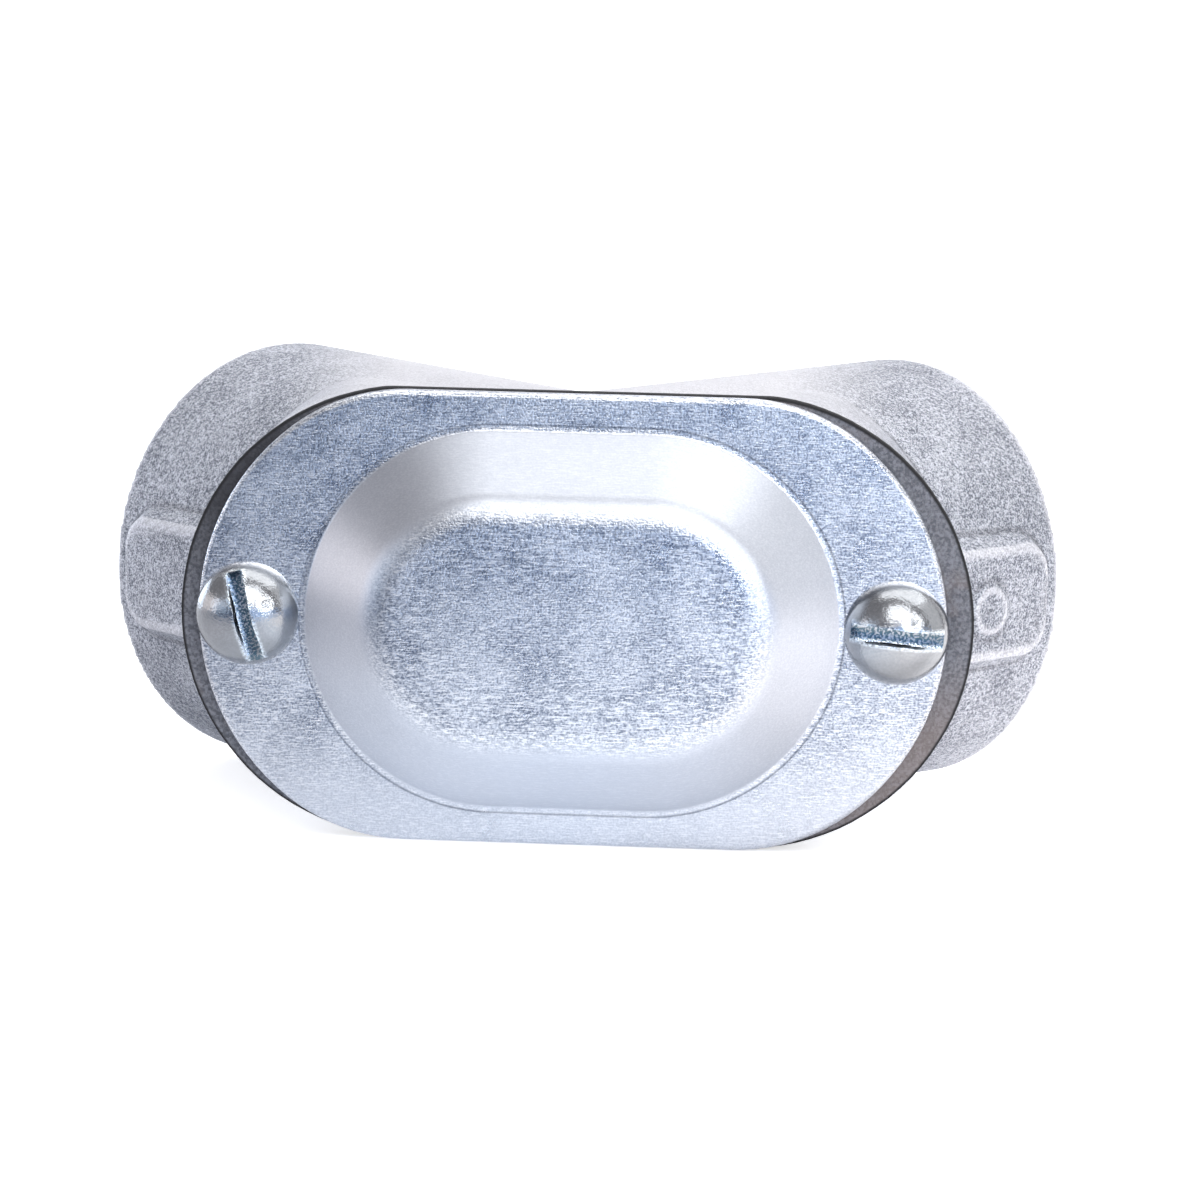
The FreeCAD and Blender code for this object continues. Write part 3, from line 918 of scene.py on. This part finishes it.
def cut_slot(screw, center, turn):
    """Cuts the driver slot across a screw's head, with walls that the driver has chewed."""
    slot = bmesh.new()
    chew = random.Random(slot_seed)
    crown = center.y - head_height
    to_slot = Matrix.Translation((center.x, crown, center.z)) @ Matrix.Rotation(-turn, 4, "Y")
    rows = []
    for step in range(slot_cuts + 1):
        along = slot_cutter_reach * (2 * step / slot_cuts - 1)
        upper = slot_width / 2 + slot_raggedness * chew.uniform(-1, 1)
        lower = slot_width / 2 + slot_raggedness * chew.uniform(-1, 1)
        corners = ((-slot_depth, upper), (slot_depth, upper), (slot_depth, -lower), (-slot_depth, -lower))
        rows.append([slot.verts.new(to_slot @ Vector((along, y, z))) for y, z in corners])
    slot.faces.new(rows[0])
    slot.faces.new(rows[-1])
    for row, following in zip(rows, rows[1:]):
        for near in range(len(row)):
            slot.faces.new((row[near - 1], row[near], following[near], following[near - 1]))
    bmesh.ops.recalc_face_normals(slot, faces=slot.faces)
    cut_with(screw, slot)
    ease = screw.modifiers.new("eased edges", "BEVEL")
    ease.limit_method = "ANGLE"
    ease.angle_limit = crisp_angle
    ease.width = slot_edge_round
    ease.segments = 2
    apply_modifiers(screw)


for side, center in screw_places.items():
    head_turns = [math.radians(90) * (step + 1) / head_steps for step in range(head_steps)]
    screw_rings = []
    for turn in head_turns:
        ring_y = center.y - head_height * math.cos(turn)
        screw_rings.append(turned_ring(center, head_radius * math.sin(turn), ring_y))
    screw_tip = center.y + shank_length
    screw_rings.append(turned_ring(center, shank_radius, center.y))
    screw_rings.append(turned_ring(center, shank_radius, screw_tip - shank_tip_chamfer))
    screw_rings.append(turned_ring(center, shank_radius - shank_tip_chamfer, screw_tip))
    screw = add_piece("screw_" + side, skin_over("screw", screw_rings, closed=False))
    smooth_faces(screw.data)
    cut_slot(screw, center, slot_turns[side])
    smooth_faces(screw.data)
    bright_zinc = zinc_plate(side)
    screw.data.materials.append(bright_zinc)
    # The photographed cover mirrors no screw heads.
    screw.visible_glossy = False
    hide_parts("cover_screw_" + side)
    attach(screw, "screw_" + side)

    thread_length = shank_length - screw_thread_start - shank_tip_chamfer
    along_screw = Vector((0, 0, 1)).rotation_difference(Vector((0, 1, 0))).to_euler()
    screw_thread = add_thread("screw_thread_" + side, {
        "Turns": thread_length / screw_thread_pitch,
        "First Radius": shank_radius,
        "Last Radius": shank_radius,
        "Length": thread_length,
        "Height": screw_thread_height,
        "Base Width": screw_thread_base_width,
        "Crest Width": screw_thread_crest_width,
        "Sink": screw_thread_sink,
        "Ridge Turn": ridge_outwards,
        "Steps": thread_steps,
        "Place": tuple(center + Vector((0, screw_thread_start, 0))),
        "Turn": tuple(along_screw),
        "Finish": bright_zinc,
    })
    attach(screw_thread, "screw_" + side)

# Studio: a paper sweep, plain and pale in view, but tinted where only reflections and bounced light
# meet it. Soft lights stand overhead, above the camera, in front, at both sides and behind, and a
# ring of small lamps stands at the front right.
sweep_width = 4.0
sweep_lip = 0.2
sweep_front = -0.9
sweep_back = 0.7
sweep_bend = 0.5
sweep_top = 2.0
sweep_steps = 16

sweep_white = (0.90, 0.90, 0.90, 1)
sweep_glow = (0.62, 0.62, 0.62, 1)
sweep_near_colours = ((0.40, 0.40, 0.42, 1), (0.62, 0.65, 0.70, 1), (0.76, 0.74, 0.74, 1))
sweep_far_colours = ((0.05, 0.09, 0.165, 1), (0.08, 0.17, 0.35, 1), (0.50, 0.70, 1.00, 1))

sweep_far_range = (-0.06, -0.19)
sweep_far_slant = 0.35
sweep_left = -0.05
sweep_right = 0.03
sweep_glow_shares = (0.5, 1.0)
sweep_glow_range = (-0.065, -0.025)
sweep_glow_slant = 0.4
sweep_shade_range = (-0.026, -0.012)
sweep_shade_end_range = (-0.010, 0.0)
sweep_shade_share = 0.6
sweep_roughness = 0.8
sweep_gloss = 0.1

sweep_line = [(sweep_front, sweep_lip), (sweep_front, 0.0)]
for step in range(sweep_steps + 1):
    turn = math.radians(90) * step / sweep_steps
    sweep_line.append((sweep_back + sweep_bend * math.sin(turn), sweep_bend * (1 - math.cos(turn))))
sweep_line.append((sweep_back + sweep_bend, sweep_top))
sweep_skin = bmesh.new()
sweep_rows = [[sweep_skin.verts.new((end * sweep_width / 2, y, z)) for end in (-1, 1)]
              for y, z in sweep_line]
for near, far in zip(sweep_rows, sweep_rows[1:]):
    sweep_skin.faces.new((near[0], near[1], far[1], far[0]))
sweep = add_piece("sweep", bpy.data.meshes.new("sweep"))
sweep_skin.to_mesh(sweep.data)
sweep_skin.free()
sweep.data.shade_smooth()
sweep.data.set_sharp_from_angle(angle=crisp_angle)
sweep_paper, sweep_tree, sweep_shader, sweep_place = new_material("sweep_paper")
on_sweep = add_node(sweep_tree, "ShaderNodeSeparateXYZ", {0: sweep_place}).outputs


def slanted(slant):
    """Place on the sweep from front to back, along a line that leans to one side, as a socket."""
    leaning = calculate(sweep_tree, "MULTIPLY", on_sweep["X"], slant)
    return calculate(sweep_tree, "ADD", on_sweep["Y"], leaning)


def across_sweep(left, middle, right):
    """A colour that changes from left to right across the sweep, as a socket."""
    left_half = mix_colours(sweep_tree, stretch(sweep_tree, on_sweep["X"], sweep_left, 0.0), left, middle)
    return mix_colours(sweep_tree, stretch(sweep_tree, on_sweep["X"], 0.0, sweep_right), left_half, right)


# The camera sees plain pale paper. Light and reflections meet tinted paper instead, which glows round
# the elbow, but less close in front of it, and is blue further in front.
near_paper = across_sweep(*sweep_near_colours)
far_off = stretch(sweep_tree, slanted(sweep_far_slant), *sweep_far_range)
paper = mix_colours(sweep_tree, far_off, near_paper, across_sweep(*sweep_far_colours))
glow_place = slanted(sweep_glow_slant)
lit = stretch(sweep_tree, glow_place, *sweep_glow_range, *sweep_glow_shares)
shaded = stretch(sweep_tree, glow_place, *sweep_shade_range, 0.0, sweep_shade_share)
in_front = stretch(sweep_tree, glow_place, *sweep_shade_end_range, 1.0, 0.0)
glow_share = calculate(sweep_tree, "SUBTRACT", lit, calculate(sweep_tree, "MULTIPLY", shaded, in_front))
near_share = calculate(sweep_tree, "MULTIPLY", glow_share, calculate(sweep_tree, "SUBTRACT", 1.0, far_off))
glow = add_node(sweep_tree, "ShaderNodeVectorMath", {0: near_paper, "Scale": near_share},
                operation="SCALE").outputs[0]
in_view = sweep_tree.nodes.new("ShaderNodeLightPath").outputs["Is Camera Ray"]
sweep_tree.links.new(mix_colours(sweep_tree, in_view, paper, sweep_white), sweep_shader["Base Color"])
sweep_tree.links.new(mix_colours(sweep_tree, in_view, glow, sweep_glow), sweep_shader["Emission Color"])
sweep_shader["Emission Strength"].default_value = 1.0
sweep_shader["Roughness"].default_value = sweep_roughness
sweep_shader["Specular IOR Level"].default_value = sweep_gloss
sweep.data.materials.append(sweep_paper)

on_part = (0, 0, 0.02)
on_background = (0.0, 1.2, 0.35)
white = (1.0, 1.0, 1.0)
sky_white = (0.80, 0.95, 1.15)
pale_blue = (0.86, 0.96, 1.1)
warm_white = (1.0, 0.91, 0.88)
ring_center = Vector((0.33, -0.56, 0.24))
ring_across = Vector((0.863, 0.506, 0))
ring_radius = 0.16
ring_lamps = 10
ring_lamp_size = 0.07
ring_lamp_brightness = 7.5
studio_tint = (1.0, 0.97, 1.02, 1)
studio_strength = 0.4


def soft_light(name, place, width, height, brightness, colour=white, aim=on_part, shape="RECTANGLE"):
    """An area light of even brightness that faces a point."""
    light = bpy.data.lights.new(name, "AREA")
    light.shape = shape
    light.size = width
    light.size_y = height
    light.energy = brightness * math.pi * width * height
    light.color = colour
    lamp = bpy.data.objects.new(name, light)
    lamp.location = place
    lamp.rotation_euler = (Vector(aim) - Vector(place)).to_track_quat("-Z", "Y").to_euler()
    bpy.context.scene.collection.objects.link(lamp)


soft_light("overhead", (0.09, -0.02, 0.62), width=0.46, height=0.8, brightness=2.0)
soft_light("above_camera", (0.05, -0.60, 0.48), width=0.5, height=0.42, brightness=2.3)
soft_light("front", (0.06, -0.80, 0.24), width=0.5, height=0.26, brightness=0.4)
soft_light("front_left", (-0.55, -0.42, 0.09), width=0.4, height=0.3, brightness=0.75, colour=sky_white)
soft_light("right", (0.54, -0.04, 0.30), width=0.5, height=0.6, brightness=0.75)
soft_light("left", (-0.60, -0.10, 0.10), width=0.5, height=0.24, brightness=1.1, colour=warm_white)
soft_light("back_left", (-0.57, 0.40, 0.13), width=0.5, height=0.3, brightness=2.7, colour=pale_blue)
soft_light("background", (0.0, 0.35, 0.9), width=1.4, height=0.5, brightness=4.0, aim=on_background)
for step in range(ring_lamps):
    turn = math.tau * step / ring_lamps
    outward = ring_across * math.cos(turn) + Vector((0, 0, 1)) * math.sin(turn)
    soft_light("ring_lamp", ring_center + outward * ring_radius, ring_lamp_size, ring_lamp_size,
               ring_lamp_brightness, shape="DISK")

studio = bpy.data.worlds.new("studio")
studio.use_nodes = True
studio.node_tree.nodes["Background"].inputs["Color"].default_value = studio_tint
studio.node_tree.nodes["Background"].inputs["Strength"].default_value = studio_strength
bpy.context.scene.world = studio
bpy.context.scene.view_settings.view_transform = "Standard"

# Camera: fitted to the photograph. It looks at the middle of the cover's rim plane from a little to the
# right and above, and its shift puts that point on the same pixel as in the photograph.
view_azimuth = math.radians(2.82)
view_elevation = math.radians(9.66)
view_roll = math.radians(1.29)
view_distance = 275 * mm
view_start = 10 * mm
photo_pixels = 1200
focal_pixels = 3742.4
aim_pixel = (570.9, 622.5)
sensor_width = 36.0

view_aim = Vector((cover_middle.x, rim_front, cover_middle.z))
backwards = Vector((math.sin(view_azimuth) * math.cos(view_elevation),
                    -math.cos(view_azimuth) * math.cos(view_elevation), math.sin(view_elevation)))
sideways = Vector((0, 0, 1)).cross(backwards).normalized()
upwards = backwards.cross(sideways)
rolled_sideways = sideways * math.cos(view_roll) + upwards * math.sin(view_roll)
rolled_upwards = upwards * math.cos(view_roll) - sideways * math.sin(view_roll)
camera_turn = Matrix((rolled_sideways, rolled_upwards, backwards)).transposed().to_4x4()
lens = bpy.data.cameras.new("camera")
lens.sensor_width = sensor_width
lens.lens = focal_pixels / photo_pixels * sensor_width
lens.shift_x = (photo_pixels / 2 - aim_pixel[0]) / photo_pixels
lens.shift_y = (aim_pixel[1] - photo_pixels / 2) / photo_pixels
lens.clip_start = view_start
camera = bpy.data.objects.new("camera", lens)
camera.matrix_world = Matrix.Translation(view_aim + backwards * view_distance) @ camera_turn
bpy.context.scene.collection.objects.link(camera)
bpy.context.scene.camera = camera
